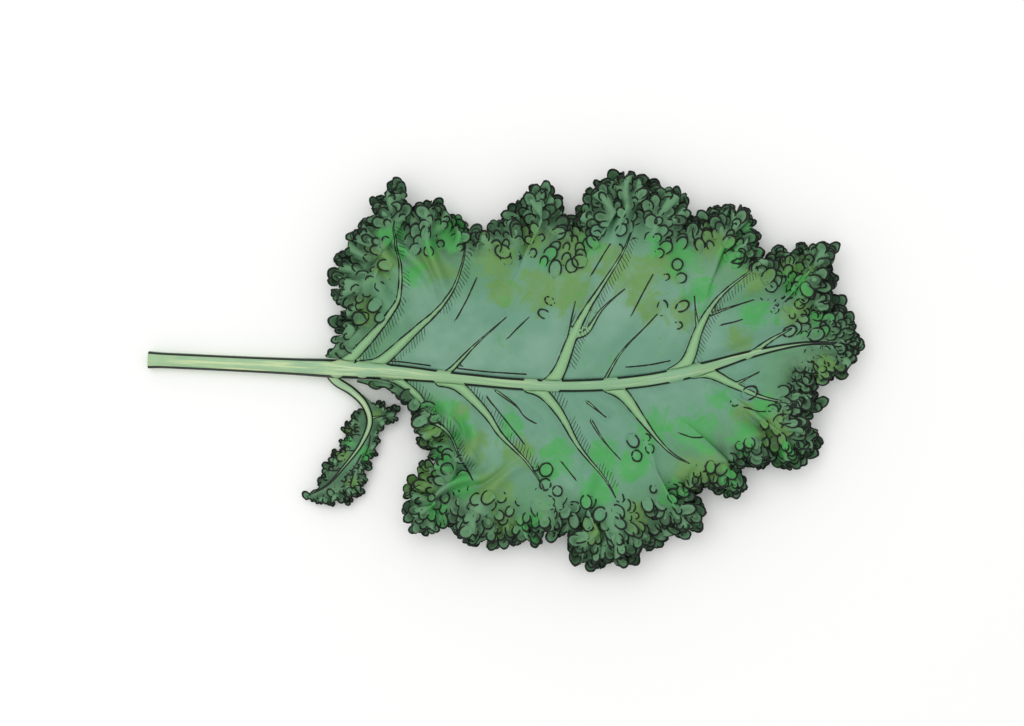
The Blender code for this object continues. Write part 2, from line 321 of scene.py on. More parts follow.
def bladeFinish():
    f = Finish("kale_blade")
    look = bladeLook
    place = f.add("ShaderNodeTexCoord").outputs["Object"]
    edgeGap = f.read("edgeGap").outputs["Fac"]
    veinGap = f.read("veinGap").outputs["Fac"]
    hatchGap = f.read("hatchGap").outputs["Fac"]
    hatchAlong = f.read("hatchAlong").outputs["Fac"]

    # the wash, then the glaze and the frill's dark greens towards the margin, with painted shade in the
    # troughs of the folds and the cups of the curls
    broad = f.lumps(place, look["washSize"], 3, 0.6)
    colour = f.blend(f.between(broad, 0.35, 0.62), look["wash"], look["washDeep"])
    spots = f.lumps(place, look["spotSize"], 3, 0.6)
    # painted shade: darker where a point lies deep in a trough of the folds or in a curl's cup, mixed
    # with random tone and spots
    valley = f.read("valley").outputs["Fac"]
    deep = f.calc("ADD", f.calc("ADD", valley, f.read("tone").outputs["Fac"]),
                  f.calc("MULTIPLY", f.calc("SUBTRACT", spots, 0.5), 1.2))
    frillTone = f.blend(f.between(deep, 0.55, -0.45), look["frillDarkAndShade"], look["frill"])
    wander = f.calc("MULTIPLY", f.calc("SUBTRACT", broad, 0.5), look["raggedness"])
    raggedGap = f.calc("ADD", edgeGap, wander)
    glazed = f.between(raggedGap, look["glazeFrom"], look["glazeFull"], 0, 0.6)
    colour = f.blend(glazed, colour, look["glaze"])
    frilled = f.between(raggedGap, look["frillFrom"], look["frillFull"], 0, 0.85)
    colour = f.blend(frilled, colour, frillTone)
    # painted shade in the troughs of the frill's folds, towards the margin
    creaseShade = f.calc("MULTIPLY", f.between(valley, 0.25, 0.9), f.between(edgeGap, 24, 10))
    colour = f.blend(f.calc("MULTIPLY", creaseShade, 0.55), colour, look["frillDarkAndShade"])

    # washes of olive and bright green with watery edges
    bays = f.lumps(place, look["wateryEdge"], 5, 0.7, 1.2)
    watery = f.calc("MULTIPLY", f.calc("SUBTRACT", bays, 0.5), 2.4)
    for key, strength in look["dabs"]:
        dab = f.calc("ADD", f.read(key).outputs["Fac"], watery)
        dab = f.calc("MULTIPLY", f.between(dab, 0.2, 0.7), f.between(spots, 0.2, 0.6, 0.55, 1))
        colour = f.blend(f.calc("MULTIPLY", dab, strength), colour, look[key])

    # each vein: distance from its middle line, less its half width there
    offVein = f.calc("ABSOLUTE", f.read("veinOff").outputs["Fac"])
    veinHalf = f.read("veinHalf").outputs["Fac"]
    flankGap = f.calc("SUBTRACT", offVein, veinHalf)
    byVein = f.between(veinGap, 1.5, 0.9)
    # painted highlight: lighter along the middle of each raised vein
    crestHighlight = f.between(flankGap, -0.3, -1.6)
    veinTone = f.blend(crestHighlight, look["vein"], look["veinCrestHighlight"])
    onVein = f.calc("MULTIPLY", f.between(flankGap, 0.2, -0.2), byVein)
    colour = f.blend(onVein, colour, veinTone)

    netting = f.add("ShaderNodeTexVoronoi", {"Vector": place, "Scale": 1 / (look["netSize"] * mm)},
                    feature="DISTANCE_TO_EDGE").outputs["Distance"]
    net = f.between(netting, 0.07, 0.0)
    colour = f.blend(f.calc("MULTIPLY", net, look["netStrength"]), colour, look["vein"])

    # dark lines: the rim, then painted shade as a line down the two flanks of each vein and as short
    # strokes in its lee
    broken = f.lumps(place, look["breakSize"], 2, 0.6)
    rimGap = f.read("rimGap").outputs["Fac"]
    soft = look["softEdge"]
    rim = f.between(rimGap, look["rimLine"] + soft, look["rimLine"] - soft)
    lineWidth = f.between(broken, 0.3, 0.62, 0.45 * look["veinShadeLine"], look["veinShadeLine"])
    lineWidth = f.calc("MULTIPLY", lineWidth, f.between(veinHalf, 0.1, 1.3, 0.55, 1))
    # painted shade: a dark line down each flank of a vein, where the groove beside it lies
    flank = f.between(f.calc("ABSOLUTE", flankGap), f.calc("ADD", lineWidth, soft), lineWidth)
    flank = f.calc("MULTIPLY", flank, byVein)
    # painted shade: short dark strokes on the lee side of the hatched veins
    slant = f.calc("ADD", hatchAlong, f.calc("MULTIPLY", hatchGap, look["strokeSlant"]))
    slant = f.calc("ADD", slant, f.calc("MULTIPLY", broken, 1.6))
    leeShadeStroke = f.calc("SINE", f.calc("MULTIPLY", slant, 2 * math.pi / look["strokeApart"]))
    leeShadeStroke = f.between(leeShadeStroke, 0.55, 0.9)
    ragged = f.calc("ADD", hatchGap, f.calc("MULTIPLY", broken, 5))
    farEnd = f.between(ragged, look["strokeReach"], look["strokeReach"] - 1.2)
    inHatch = f.calc("MULTIPLY", f.between(hatchGap, 0.1, 0.4), farEnd)
    patchy = f.between(f.lumps(place, 16, 1, 0.5), 0.4, 0.47)
    leeShadeStroke = f.calc("MULTIPLY", f.calc("MULTIPLY", leeShadeStroke, inHatch), patchy)
    leeShadeStroke = f.calc("MULTIPLY", leeShadeStroke, look["strokeDark"])
    darkLinesAndShade = f.calc("MAXIMUM", f.calc("MAXIMUM", rim, flank), leeShadeStroke)
    colour = f.blend(darkLinesAndShade, colour, look["line"])

    f.put(f.shader.inputs["Base Color"], colour)
    f.put(f.shader.inputs["Roughness"], f.between(spots, 0.3, 0.7, 0.5, 0.68))
    f.shader.inputs["Specular IOR Level"].default_value = 0.3
    netBump = f.bump(net, 0.05, 0.5)
    grain = f.lumps(place, look["grainSize"], 2)
    f.put(f.shader.inputs["Normal"], f.bump(grain, look["grainHeight"], 0.5, over=netBump))
    return f.material


def stalkFinish():
    f = Finish("kale_stalk")
    look = stalkLook
    place = f.add("ShaderNodeTexCoord").outputs["Object"]
    grain = f.read("grainPlace").outputs["Vector"]
    streaks = f.add("ShaderNodeTexNoise", {"Vector": grain, "Scale": 1.0, "Detail": 3.0,
                                           "Roughness": 0.55}).outputs["Fac"]
    broad = f.lumps(place, look["patchSize"], 2)
    towardTip = f.read("towardTip").outputs["Fac"]
    colour = f.blend(f.between(towardTip, 0.15, 0.6), look["skin"], look["skinTip"])
    colour = f.blend(f.between(broad, 0.4, 0.62, 0, 0.6), colour, look["skinCool"])
    warm = f.between(towardTip, 0.1, 0.6, 0.85, 0.3)
    warm = f.calc("MULTIPLY", f.between(streaks, 0.48, 0.64), warm)
    colour = f.blend(warm, colour, look["skinWarm"])

    # the cut face shows the ends of the fibres
    cut = f.read("cutFace").outputs["Fac"]
    fibres = f.add("ShaderNodeTexVoronoi", {"Vector": place, "Scale": 1 / (look["fibreSize"] * mm)})
    pith = f.blend(f.between(fibres.outputs["Distance"], 0.1, 0.35), look["skinCool"], look["pith"])
    colour = f.blend(cut, colour, pith)
    flankLine = f.read("flankLine").outputs["Fac"]
    colour = f.blend(f.between(flankLine, 0.4, 0.6), colour, look["line"])
    f.put(f.shader.inputs["Base Color"], colour)
    f.put(f.shader.inputs["Roughness"], f.between(streaks, 0.3, 0.7, 0.42, 0.58))
    f.shader.inputs["Specular IOR Level"].default_value = 0.35
    f.put(f.shader.inputs["Normal"], f.bump(streaks, 0.25, 0.5))
    return f.material


bladeMaterial, stalkMaterial = bladeFinish(), stalkFinish()
print("finishes mixed")


def makeStalk(name, node, shape, line):
    rings, sides = shape["rings"], shape["sides"]
    along = pathLength(line)
    line = resample(line, along, np.linspace(0, along[-1], rings))
    length = np.linspace(0, along[-1], rings)
    left = leftOf(line)
    centre = line[:, None, :3]
    radius = line[:, None, 3]
    angle = np.linspace(0, 2 * math.pi, sides, endpoint=False)[None]
    offTop = (angle - math.pi / 2 + math.pi) % (2 * math.pi) - math.pi
    swell = (1 - shape["groove"] * np.exp(-(offTop / shape["grooveSpan"]) ** 2)
             + shape["ridgeHeight"] * np.cos(shape["ridges"] * angle)
             + shape["uneven"] * waver(rings, 1, shape["unevenSize"], 3.7)[:, None])
    across = radius * swell * np.cos(angle)
    up = radius * swell * np.sin(angle)
    points = np.dstack([centre[..., 0] + across * left[:, 0:1],
                        centre[..., 1] + across * left[:, 1:2],
                        np.maximum(centre[..., 2] + up, shape["lowest"])])
    grid = np.arange(rings * sides).reshape(rings, sides)
    a, b = grid[:-1], grid[1:]
    faces = np.stack([a, np.roll(a, -1, 1), np.roll(b, -1, 1), b], -1).reshape(-1, 4).tolist()

    # the cut end is a shallow dished face with a crisp rim, and the tip is closed plainly
    flat = points.reshape(-1, 3)
    cutFace = np.zeros(len(flat))
    spread = stalkLook["streaksRound"]
    grainPlace = np.broadcast_arrays(length[:, None] * stalkLook["streaksAlong"],
                                     np.cos(angle) * spread, np.sin(angle) * spread)
    grainPlace = np.stack(grainPlace, -1).reshape(-1, 3)
    middle = line[0, :3]
    rim = points[0]
    first = len(flat)
    extra = [middle + (rim - middle) * share + np.array([inside, 0, 0])
             for share, inside in cutEnd["rings"]]
    flat = np.vstack([flat, *extra, middle + np.array([cutEnd["hub"], 0, 0])])
    previous = grid[0]
    for number in range(len(cutEnd["rings"])):
        ring = np.arange(first + number * sides, first + (number + 1) * sides)
        faces += np.stack([previous, ring, np.roll(ring, -1), np.roll(previous, -1)], -1).tolist()
        previous = ring
    hub = len(flat) - 1
    faces += [[previous[i], hub, previous[(i + 1) % sides]] for i in range(sides)]
    faces.append(grid[-1].tolist())
    added = len(flat) - len(cutFace)
    cutFace = np.concatenate([cutFace, np.ones(added)])
    grainPlace = np.vstack([grainPlace, np.zeros((added, 3))])

    # a dark line down each flank, on the upper side only
    seam = 0.95 * radius - shape["lineWidth"]
    onFlank = ease(0.5 + (np.abs(across) - seam) / 0.35) * ease((np.sin(angle) - 0.1) / 0.1)
    if shape["veinsRunIn"]:
        joining = veinField(points[..., :2].reshape(-1, 2), bladeLeft["veins"] + bladeRight["veins"])
        onFlank = onFlank * ease(0.5 + joining["gap"].reshape(rings, sides) / 0.5)
    flankLine = np.zeros(len(flat))
    flankLine[:rings * sides] = onFlank.ravel()
    towardTip = np.repeat(length / length[-1], sides)
    towardTip = np.concatenate([towardTip, np.zeros(added)])
    piece = newPiece(name, flat, faces, {"cutFace": cutFace, "grainPlace": grainPlace,
                                         "flankLine": flankLine, "towardTip": towardTip},
                     stalkMaterial)
    fixNormals(piece)
    joinFrame(piece, node)


def fixNormals(piece):
    skin = bmesh.new()
    skin.from_mesh(piece.data)
    bmesh.ops.recalc_face_normals(skin, faces=skin.faces)
    skin.to_mesh(piece.data)
    skin.free()
    piece.data.set_sharp_from_angle(angle=math.radians(40))


frillWaves = {
    "broad": {"wave": 31, "height": 5.5, "depth": 26},
    # two finer waves, each laid square to the surface that the one before it made
    "folds": {"wave": 13, "height": 3.2, "depth": 11, "sway": 0.34, "rollBack": 2.6,
              "uneven": 0.6, "lumpSize": 11},
    "lobes": {"wave": 5.6, "height": 1.9, "depth": 5.5, "sway": 0.5, "reach": 2.3,
              "uneven": 0.6, "lumpSize": 8},
    "edgeHeight": 15,                     # middle of the frill above the table
    "lowest": 0.5,
    "ends": 12,                           # the frill fades out over this length
}
bladeMesh = {
    "step": 1.25,                         # between the patch's columns, along the margin
    "finer": 3,                           # columns of the band to one of the patch
    "bandRows": 9,
    "bandDepth": 15,
    "crowding": 1.25,                     # of the band's rows towards the rim
    "thin": 0.45,                         # thickness between the veins
    "rib": 2.2,                           # and at the thickest of them
    "puff": 1.7,                          # between the veins
    "lumps": 0.9,
    "lumpSize": 13,
    "veinRise": 0.55,
    "veinGroove": 0.3,                    # beside each vein
    "reach": 20,                          # from the midrib to where the broad waves are full
}
# small round curls that lie over each other in and behind the frill
bladeCurls = {
    "cells": 5,                           # squares along one side of a curl
    "rimDepth": 12,                       # they lie all over a margin this deep, but the inset
    "inset": 1.2,
    "tipFrom": 226,                       # from here on they come close to the midrib too
    "spacing": 3.9,
    "small": 1.7,                         # smallest and largest half width
    "large": 3.5,
    "long": 1.35,                         # length to width
    "cup": 0.4,
    "ruffle": 0.16,
    "tilt": (0.25, 0.95),
    "turn": 0.8,
    "sink": 0.5,                          # of the root into the sheet
}
leafletCurls = {
    "cells": 4,
    "rimDepth": 3,
    "inset": 0.5,
    "tipFrom": 99,
    "spacing": 2.3,
    "small": 1.0,
    "large": 1.9,
    "long": 1.3,
    "cup": 0.4,
    "ruffle": 0.14,
    "tilt": (0.25, 0.9),
    "turn": 0.7,
    "sink": 0.3,
}

bladeLeft = {
    "side": 1,
    "margin": [
        (-5, 5.6), (2, 14), (4, 26), (1, 38), (2, 52), (9, 64), (19, 75), (26, 89), (34, 86),
        (37, 77), (47, 81), (59, 76), (68, 66), (79, 70), (88, 76), (95, 84), (106, 88),
        (113, 80), (120, 73), (126, 83), (135, 93), (150, 94), (161, 88), (172, 86), (176, 74),
        (186, 77), (202, 77), (210, 70), (208, 56), (220, 57), (234, 60), (247, 58), (248, 46),
        (244, 38), (253, 28), (260, 19), (262.5, 11.3),
    ],
    "corner": (10, 66),
    # guides for the mesh: x where it leaves the midrib, x and y at the margin, and its bow
    "guides": [(6, 26, 89, -2), (24, 62, 74, 10), (56, 106, 88, 4), (108, 148, 94, -3),
               (140, 172, 86, 2), (174, 204, 76, -2), (196, 247, 58, 3)],
    # side veins: half width at the root, whether the lee side is hatched with painted shade, and the
    # route
    "veins": [
        (2.4, True, [(1, -1), (8, 4.6), (18, 15), (29, 28.5), (32.6, 38), (32.6, 50), (30, 65),
                     (28, 78)]),
        (2.5, True, [(14, -1), (24, 3.4), (39, 17), (52, 29), (59.6, 40), (64.4, 54), (65, 66)]),
        (1.1, False, [(52, -5), (58, -1.4), (69, 10), (79, 19), (87, 26)]),
        (2.7, True, [(108, -9), (113, 0), (118.5, 14.6), (125, 27.5), (133, 40), (143.5, 57), (150, 73)]),
        (1.3, False, [(119, 15), (126, 18), (133.5, 29), (146, 40)]),
        (0.6, False, [(134, -8), (140, 3), (146, 11), (154, 19), (162, 27.5)]),
        (2.7, True, [(170, -4), (176.5, 4), (181.6, 18.5), (188, 30), (196, 39), (206, 47), (214, 53)]),
        (0.6, False, [(187, 26), (198, 30), (210, 34)]),
        (0.6, False, [(181, 20), (180, 28), (179.4, 36)]),
        (1.2, False, [(206, 5), (217.7, 13.5), (229, 20), (238, 27)]),
    ],
    # creases with no width of their own
    "creases": [
        [(86.6, 14.4), (92, 20), (97.6, 25.4)],
        [(60.6, 23.6), (66, 33.5), (71.5, 45.3)], [(116.6, 16.2), (118, 24), (120.4, 34.4)],
        [(148, 25.8), (153, 35.6), (159, 46.8)],
        [(60, -0.6), (78, -2.4), (97, -3.6)], [(22, 3.2), (35, 2.4), (49, 0.6)],
        [(146, 0), (157, 1.2), (168, 3.4)], [(193, 21), (199, 22.4), (204, 24)],
        [(128, 46), (134, 56), (138, 62)],
    ],
    # where it is washed olive and bright green, and where the curls reach far in: x, y, radius
    "olive": [(47, 52, 9), (57, 47, 6), (80, 53, 10), (82, 38, 7), (102, 38, 12), (117, 36, 12),
              (122, 56, 13), (99, 62, 9), (140, 50, 11), (153, 42, 13), (162, 50, 10), (156, 30, 8),
              (172, 27, 8), (188, 62, 9), (210, 43, 8), (202, 13, 8), (24, 52, 8), (16, 28, 7),
              (230, 48, 8), (232, 28, 8)],
    "fresh": [(57, 66, 9), (40, 46, 7), (48, 60, 5), (173, 54, 8), (182, 37, 9), (199, 55, 8),
              (209, 66, 6), (210, 26, 8), (229, 41, 8), (30, 66, 6), (33, 58, 4), (127, 60, 6),
              (240, 22, 7), (105, 52, 4), (160, 60, 6)],
    "curled": [(8, 40, 17), (12, 62, 17), (27, 80, 15), (46, 70, 12), (100, 66, 17),
               (112, 62, 13), (130, 78, 18), (150, 78, 18), (165, 70, 14), (190, 70, 11),
               (204, 60, 9), (226, 50, 14), (238, 38, 17), (246, 22, 17), (252, 12, 17),
               (106.5, 30.5, 4), (167, 45, 4.5), (168, 25, 4.5)],
}
bladeRight = {
    "side": -1,
    "margin": [
        (11, -7.6), (25, -11.4), (35, -17), (41, -24), (43, -32), (43, -39), (50, -45),
        (45, -51), (38, -58), (36, -68), (39, -78), (46, -82), (56, -78), (66, -85), (80, -88),
        (92, -87), (104, -84), (114, -84), (122, -94), (133, -98), (148, -93), (160, -88),
        (173, -82), (184, -75), (182, -68), (178, -62), (183, -59), (193, -60), (204, -62),
        (203, -52), (205, -46), (214, -48), (228, -48), (241, -36), (233, -29), (235, -23),
        (240, -17), (239, -8), (250, -5), (258, 1), (262.5, 11.7),
    ],
    "corner": (37, -74),
    "guides": [(34, 60, -81, 7), (58, 104, -84, 4), (104, 146, -93, 3), (140, 188, -70, 1),
               (184, 240, -30, 2)],
    "veins": [
        (1.9, True, [(26, -3), (34, -8.4), (42, -15.3), (48, -25), (57, -33), (62, -44), (70, -58)]),
        (2.5, True, [(54, -5.5), (63, -10.4), (75.6, -23.2), (83, -34), (96.4, -48), (106, -63)]),
        (2.3, True, [(98, -9), (105, -14), (113, -24), (122, -40), (135, -56), (141, -67)]),
        (2.6, False, [(138, -9), (145, -15), (153.6, -26.5), (161, -36), (169.5, -44), (179, -49)]),
        (2.3, False, [(180, -1.5), (188, -3.4), (198.6, -8.6), (213, -15), (227, -18), (236, -19)]),
        (0.5, False, [(80.5, -11.8), (90.4, -19.2), (95, -25), (102, -29)]),
        (0.5, False, [(126, -17.3), (136.4, -26)]),
        (0.5, False, [(128, -27), (134.4, -37), (143.3, -47)]),
        (0.6, False, [(199, -9), (207, -5), (213, -2)]),
    ],
    "creases": [
        [(113, -47), (117, -52), (121, -57)], [(76, -15), (85, -26), (96, -40)],
        [(172, -33), (178, -35), (184, -35)],
        [(204, -20), (211, -22), (218, -22)],
    ],
    "olive": [(62, -23, 5), (70, -39, 8), (94, -42, 9), (80, -60, 11), (84, -75, 9), (50, -34, 6),
              (45, -57, 9), (177, -51, 10), (188, -50, 7), (217, -31, 10), (128, -80, 7),
              (205, -24, 7), (245, 0, 7), (150, -74, 7)],
    "fresh": [(53, -21, 8), (64, -32, 7), (112, -46, 12), (64, -58, 8), (129, -63, 9),
              (54, -46, 6), (98, -78, 6), (157, -31, 10), (150, -47, 9), (192, -16, 7),
              (214, -20, 6), (168, -62, 7), (50, -72, 6), (225, -42, 6), (196, -56, 5),
              (182, -32, 12), (134, -44, 9), (88, -30, 7), (203, -34, 8)],
    "curled": [(52, -60, 16), (50, -74, 14), (68, -74, 13), (88, -76, 11), (105, -72, 12),
               (124, -84, 15), (145, -82, 15), (165, -72, 11), (200, -54, 8), (222, -40, 12),
               (234, -22, 14), (248, -6, 16), (40, -32, 7),
               (201, -17, 4), (151, -37, 4.5), (103, -50, 4.5)],
}


leafletWaves = {
    "broad": {"wave": 17, "height": 1.1, "depth": 8},
    "folds": {"wave": 7.5, "height": 1.5, "depth": 4.5, "sway": 0.3, "rollBack": 1.3,
              "uneven": 0.6, "lumpSize": 6},
    "lobes": {"wave": 4.4, "height": 1.1, "depth": 3.2, "sway": 0.5, "reach": 1.7,
              "uneven": 0.5, "lumpSize": 5},
    "edgeHeight": 5.2,
    "lowest": 0.4,
    "ends": 6,
}
leafletMesh = {
    "step": 0.8,
    "finer": 3,
    "bandRows": 12,
    "bandDepth": 6,
    "crowding": 1.25,
    "thin": 0.4,
    "rib": 1.0,
    "puff": 0.5,
    "lumps": 0.4,
    "lumpSize": 6,
    "veinRise": 0.55,
    "veinGroove": 0.3,
    "reach": 6,
}
leafletLeft = {
    "side": 1,
    "margin": [
        (16.6, -17.4), (22, -19), (27, -20.5), (31.5, -24), (27, -27.4), (22.4, -29.6), (21.6, -35),
        (19.6, -43), (15.4, -50), (14.4, -58), (11, -64), (3, -67), (-6, -68.6), (-14.6, -66),
    ],
    "corner": (27, -20.5),
    "byLength": True,                     # its guides start at lengths along its stalk
    "shade": 0.3,                         # added to the darkness of its greens
    "guides": [(12, 26.5, -26.8, 0), (30, 19.6, -43, 0), (44, 14.4, -58, 0)],
    "veins": [(0.7, False, [(16.6, -26), (21, -25), (26, -24.6)])],
    "creases": [[(17.5, -34), (16.5, -40), (13.5, -46)], [(13, -44), (9, -51), (4, -56)],
                [(9, -54), (7, -60), (3, -64)]],
    "olive": [(20, -24, 3), (8, -58, 4)],
    "fresh": [(15, -44, 4)],
    "curled": [(10, -58, 8), (0, -64, 8), (16, -52, 4)],
}
leafletRight = {
    "side": -1,
    "margin": [
        (13.6, -21.4), (9.4, -24.4), (5.6, -28), (5, -34), (2.6, -41), (-2, -46), (-5.6, -51),
        (-6.6, -57), (-9.6, -60.6), (-14.6, -64.8),
    ],
    "corner": (6, -27.6),
    "byLength": True,
    "shade": 0.35,
    "guides": [(22, 5, -34, 0), (36, -2, -46, 0), (50, -6.6, -57, 0)],
    "veins": [(0.5, False, [(3.5, -51), (-0.5, -52), (-4, -52)])],
    "creases": [[(12, -34), (9, -34), (6.5, -36)], [(10, -42), (6, -42), (3, -44)]],
    "olive": [(9, -32, 4), (4, -44, 4)],
    "fresh": [(7, -38, 3)],
    "curled": [(7, -32, 5), (3, -42, 5), (-3, -52, 6), (-10, -60, 6)],
}


def ribFlank(rib, side, inset=0.9):
    flank = rib[:, :3].copy()
    flank[:, :2] += side * leftOf(rib) * (rib[:, 3:4] * inset)
    flank[:, 2] += 0.25 * rib[:, 3]
    return flank


def nearestTo(line, place):
    return int(np.argmin(np.hypot(*(line[:, :2] - place).T)))


def bladePlan(shape, rib, mesh):
    # the blade laid out flat: a patch of rows and columns from the midrib to an inner line, and
    # a finer band from there to the margin
    side = shape["side"]
    marginPoints = 1600
    margin = smoothLine(shape["margin"], marginPoints)
    along = pathLength(margin)
    nodes = int(round(along[-1] / mesh["step"])) + 1
    fineCount = mesh["finer"] * (nodes - 1) + 1
    places = np.linspace(0, along[-1], fineCount)
    step = places[1]
    edge = soften(resample(margin, along, places), 1.0 / step)
    flank = ribFlank(rib, side)
    toRib, _, _ = nearestOnLine(edge, flank[::6])
    depth = np.minimum(mesh["bandDepth"], 0.5 * toRib + 0.2)
    depth = np.maximum(soften(np.minimum(depth, soften(depth, 6 / step)), 4 / step), 0.15)
    inward = -side * leftOf(soften(edge, 6 / step))
    inner = soften(edge + inward * depth[:, None], 5 / step)

    coarse = inner[::mesh["finer"]]
    corner = nearestTo(edge[::mesh["finer"]], shape["corner"])
    lower, outer = coarse[:corner + 1], coarse[corner:]

    ribAlong = pathLength(flank)
    start = ribAlong[nearestTo(flank, lower[0])]
    outerPlaces = places[::mesh["finer"]][corner:]
    knownEdge, knownRib, knownBow = [outerPlaces[0]], [start], [0]
    for rootX, tipX, tipY, bow in shape["guides"]:
        knownEdge.append(places[nearestTo(edge, (tipX, tipY))])
        knownRib.append(rootX if shape.get("byLength") else np.interp(rootX, flank[:, 0], ribAlong))
        knownBow.append(bow)
    knownEdge.append(outerPlaces[-1])
    knownRib.append(ribAlong[-1])
    knownBow.append(0)
    root = soften(np.interp(outerPlaces, knownEdge, knownRib), 5 / mesh["step"])
    bow = soften(np.interp(outerPlaces, knownEdge, knownBow), 5 / mesh["step"])
    foot = resample(flank, ribAlong, root)
    forward = resample(np.stack([leftOf(flank)[:, 1], -leftOf(flank)[:, 0]], 1), ribAlong, root)

    r = np.linspace(0, 1, len(lower))[None, :, None]
    patch = (1 - r) * foot[:, None, :2] + r * outer[:, None]
    patch += 4 * r * (1 - r) * (bow[:, None] * forward)[:, None]
    reach = (outerPlaces - outerPlaces[0])[:, None, None]
    lowerFade = 70                        # over which the columns take on the lower line's bend
    patch += np.clip(1 - reach / lowerFade, 0, 1) ** 2 * (lower - patch[0])[None]
    return {"patch": patch, "inner": inner, "edge": edge, "depth": depth, "places": places,
            "corner": corner, "flank": flank}


def blendedPlaces(plan, mesh):
    # for each place in the patch: how far along the margin it belongs, and how far in from it
    patch, finer, corner = plan["patch"], mesh["finer"], plan["corner"]
    placeOf, depthOf = plan["places"][::finer], plan["depth"][::finer]
    toOuter = np.linalg.norm(patch - patch[:, -1:], axis=2)
    toLower = np.linalg.norm(patch - patch[:1], axis=2)
    gapOuter = toOuter + depthOf[corner:][:, None]
    gapLower = toLower + depthOf[:corner + 1][None]
    weightOuter, weightLower = 1 / (toOuter + 0.01) ** 2, 1 / (toLower + 0.01) ** 2
    place = weightOuter * placeOf[corner:][:, None] + weightLower * placeOf[:corner + 1][None]
    place /= weightOuter + weightLower
    gap = -np.log(np.exp(-gapOuter / 4) + np.exp(-gapLower / 4)) * 4
    onLine = np.minimum(toOuter, toLower)
    share = ease(onLine / 8)
    return place, gap * share + np.minimum(gapOuter, gapLower) * (1 - share)


farOff = 40.0            # stands for a distance where there is no vein near


def veinField(points, veins, leeSide=-1):
    # how far each point is from the nearest vein's flank and, with a sign, from its middle line,
    # with the vein's half width there, and the strokes of painted shade in its lee
    count = len(points)
    field = {"gap": np.full(count, farOff), "off": np.full(count, farOff), "half": np.zeros(count),
             "leeShadeStroke": np.full(count, farOff), "strokeAlong": np.zeros(count)}
    veinPoints = 50
    for halfWidth, hatched, route in veins:
        line = smoothLine(route, veinPoints)
        length = pathLength(line)[-1]
        distance, share, side = nearestOnLine(points, line)
        flare = 1.9 * np.exp(-share * length / 3.5) if halfWidth > 1.5 else 0
        width = halfWidth * (1 - share) ** 0.75 * (0.85 + 0.25 * np.sin(5 * share + 1)) + flare
        width = np.maximum(width, 0.12) - 2.0 * ease((share - 0.97) / 0.03)
        nearer = distance - width < field["gap"]
        found = {"gap": distance - width, "off": side * distance, "half": width}
        for key, values in found.items():
            field[key] = np.where(nearer, values, field[key])
        if hatched:
            inLee = (side == leeSide) & (share > 0.12) & (share < 0.92)
            lee = np.where(inLee, distance - width, farOff)
            nearer = lee < field["leeShadeStroke"]
            field["strokeAlong"] = np.where(nearer, share * length, field["strokeAlong"])
            field["leeShadeStroke"] = np.where(nearer, lee, field["leeShadeStroke"])
    return field


def washed(points, dabs):
    # 1 at the heart of the nearest dab, 0 from its edge on
    reach = [1 - np.hypot(points[:, 0] - x, points[:, 1] - y) / (1.5 * r) for x, y, r in dabs]
    return np.clip(np.max(reach, axis=0), 0, 1)


